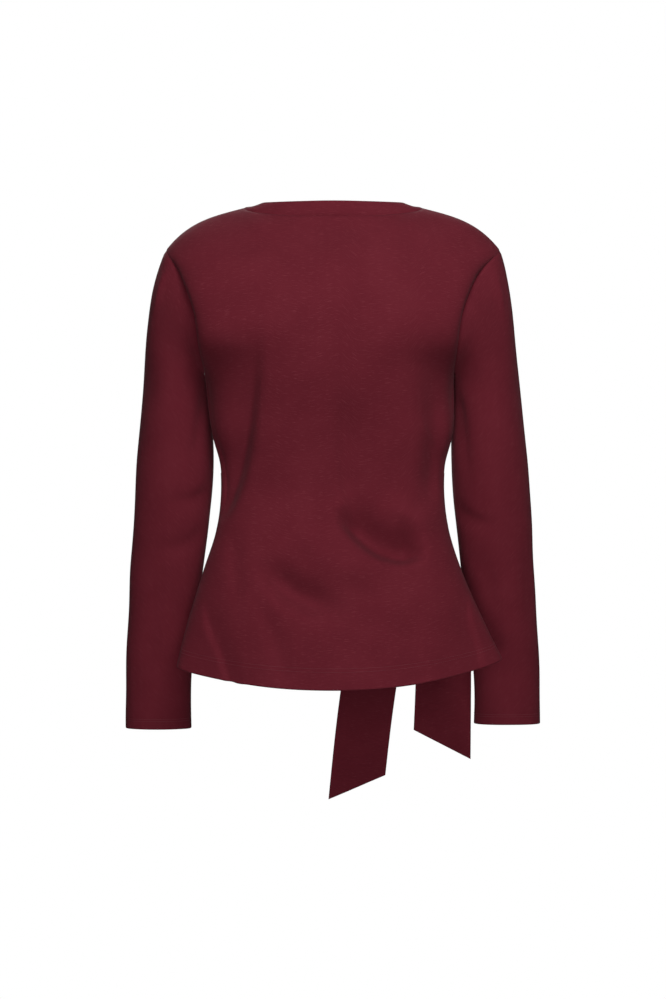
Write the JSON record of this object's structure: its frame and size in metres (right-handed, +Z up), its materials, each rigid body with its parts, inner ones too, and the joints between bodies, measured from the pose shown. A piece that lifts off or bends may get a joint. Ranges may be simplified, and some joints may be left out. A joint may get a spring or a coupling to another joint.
{
  "type": "long-sleeved jersey top with tie sash",
  "caption": "Long-sleeved wine jersey top with a round neckband, nipped waist, flared hem and a sash knotted in front, worn form, hollow.",
  "frame": {"origin": "midway between the neck points of the shoulder seams, where the wearer's shoulders hold the garment", "axes": "+Z up, -Y the garment's front, +X the wearer's left"},
  "size_m": [0.5431, 0.2197, 0.7712],
  "materials": {
    "jersey": "matt wine heavy jersey, fine vertical knit, faint flecks",
    "neckband_jersey": "matt wine jersey, folded double",
    "tie_jersey": "matt wine jersey, folded double and pressed"
  },
  "bodies": {
    "root": {"back_panel": "jersey", "front_panel": "jersey", "sleeve_left": "jersey", "sleeve_right": "jersey", "neckband": "neckband_jersey", "sash_left": "tie_jersey", "sash_right": "tie_jersey", "sash_knot": "tie_jersey", "tail_inner": "tie_jersey", "tail_outer": "tie_jersey"}
  },
  "joints": []
}
